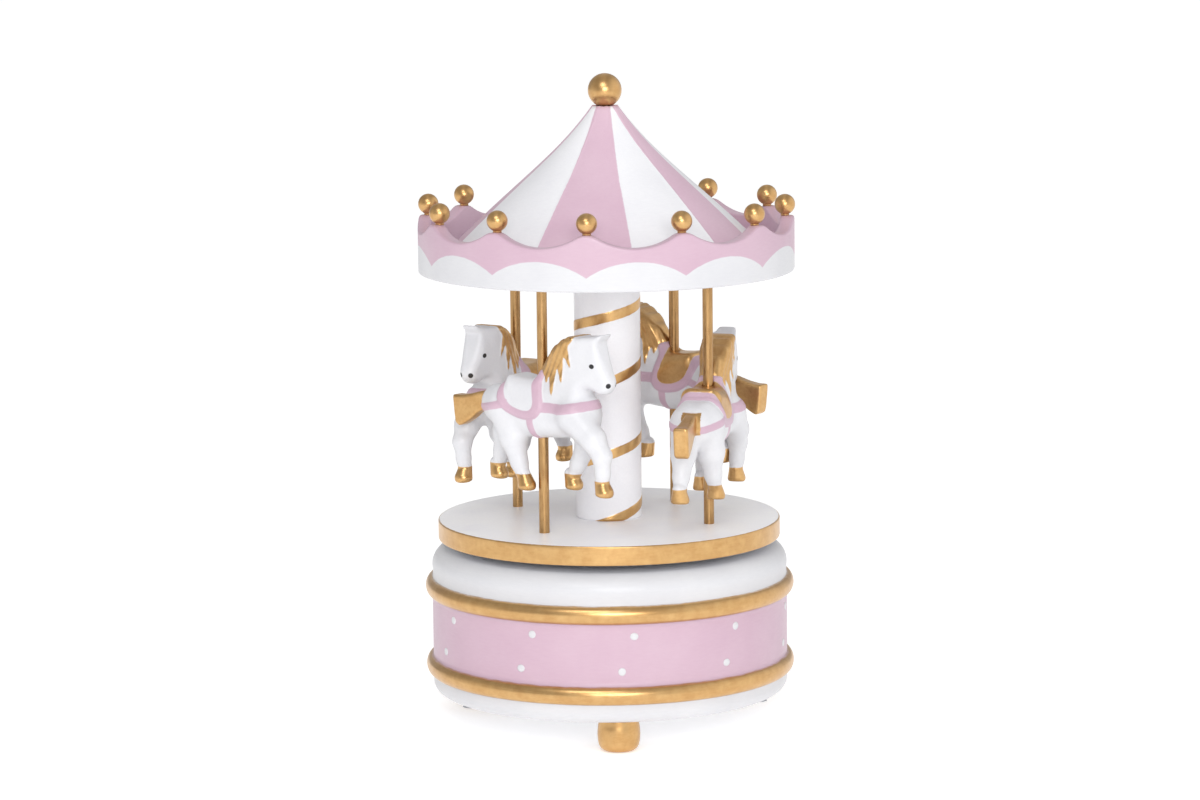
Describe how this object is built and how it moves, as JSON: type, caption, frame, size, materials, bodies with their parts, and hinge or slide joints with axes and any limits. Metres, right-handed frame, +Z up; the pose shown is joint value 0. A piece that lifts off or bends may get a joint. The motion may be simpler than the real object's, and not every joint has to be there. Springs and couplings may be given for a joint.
{
  "type": "carousel music box",
  "caption": "Wooden carousel music box: horses on rods between a turning platform and a striped canopy, over a drum with a wound musical movement.",
  "frame": {"origin": "on the turning axis, at the level that the feet stand on", "axes": "+Z up along the turning axis, -Y towards the front"},
  "size_m": [0.11, 0.11, 0.1915],
  "materials": {
    "white_paint": "satin white paint on turned wood",
    "pink_paint": "satin pink paint on wood",
    "gold_paint": "metallic gold paint on turned wood",
    "horse_white": "satin white paint on carved wood with pink and gold details",
    "brass_rod": "satin",
    "brass": "machined",
    "zinc_screw": "zinc plated",
    "plated_steel": "nickel plated",
    "spring_steel": "bright",
    "cast_metal": "as cast",
    "nylon": "moulded",
    "black_plastic": "moulded"
  },
  "bodies": {
    "base": {"base_drum": "white_paint", "base_plate": "white_paint", "feet": "gold_paint", "plate_screws": "zinc_screw", "arbor_bush": "brass", "thrust_washer": "nylon", "bedplate": "cast_metal", "movement_screws": "zinc_screw", "spring_housing": "plated_steel", "housing_screws": "zinc_screw", "mainspring": "spring_steel", "comb": "spring_steel", "comb_screws": "zinc_screw", "governor_frame": "cast_metal", "governor_screws": "zinc_screw"},
    "carousel": {"platform": "white_paint", "platform_insert": "brass", "center_column": "white_paint", "canopy_disc": "white_paint", "canopy_crown": "pink_paint", "crown_balls": "gold_paint", "canopy_roof": "white_paint", "finial_ball": "gold_paint", "pole_1": "brass_rod", "pole_2": "brass_rod", "pole_3": "brass_rod", "pole_4": "brass_rod", "horse_1": "horse_white", "horse_2": "horse_white", "horse_3": "horse_white", "horse_4": "horse_white", "arbor": "spring_steel", "arbor_clip": "spring_steel", "drive_wheel": "nylon"},
    "pinned_cylinder": {"music_cylinder": "brass", "cylinder_pins": "spring_steel", "cylinder_axle": "spring_steel", "cylinder_pinion": "brass", "cylinder_gear": "brass"},
    "governor_wheel": {"governor_axle": "spring_steel", "governor_pinion": "brass", "worm_wheel": "nylon"},
    "fly": {"worm_shaft": "spring_steel", "fly": "black_plastic"}
  },
  "joints": [
    {"name": "carousel_spin", "type": "hinge", "parent": "base", "child": "carousel", "pos_m": [0, 0, 0.0609], "axis": [0, 0, 1], "continuous": true},
    {"name": "cylinder_spin", "type": "hinge", "parent": "base", "child": "pinned_cylinder", "pos_m": [0.025, 0, 0.0363], "axis": [1, 0, 0], "continuous": true},
    {"name": "governor_wheel_spin", "type": "hinge", "parent": "base", "child": "governor_wheel", "pos_m": [0.0385, -0.01, 0.0363], "axis": [1, 0, 0], "continuous": true},
    {"name": "fly_spin", "type": "hinge", "parent": "base", "child": "fly", "pos_m": [0.0385, -0.00375, 0.03], "axis": [0, 0, 1], "continuous": true}
  ],
  "couplings": [
    {"joint": "cylinder_spin", "follows": "carousel_spin", "ratio": -4.3333},
    {"joint": "governor_wheel_spin", "follows": "carousel_spin", "ratio": 13},
    {"joint": "fly_spin", "follows": "carousel_spin", "ratio": -260}
  ]
}
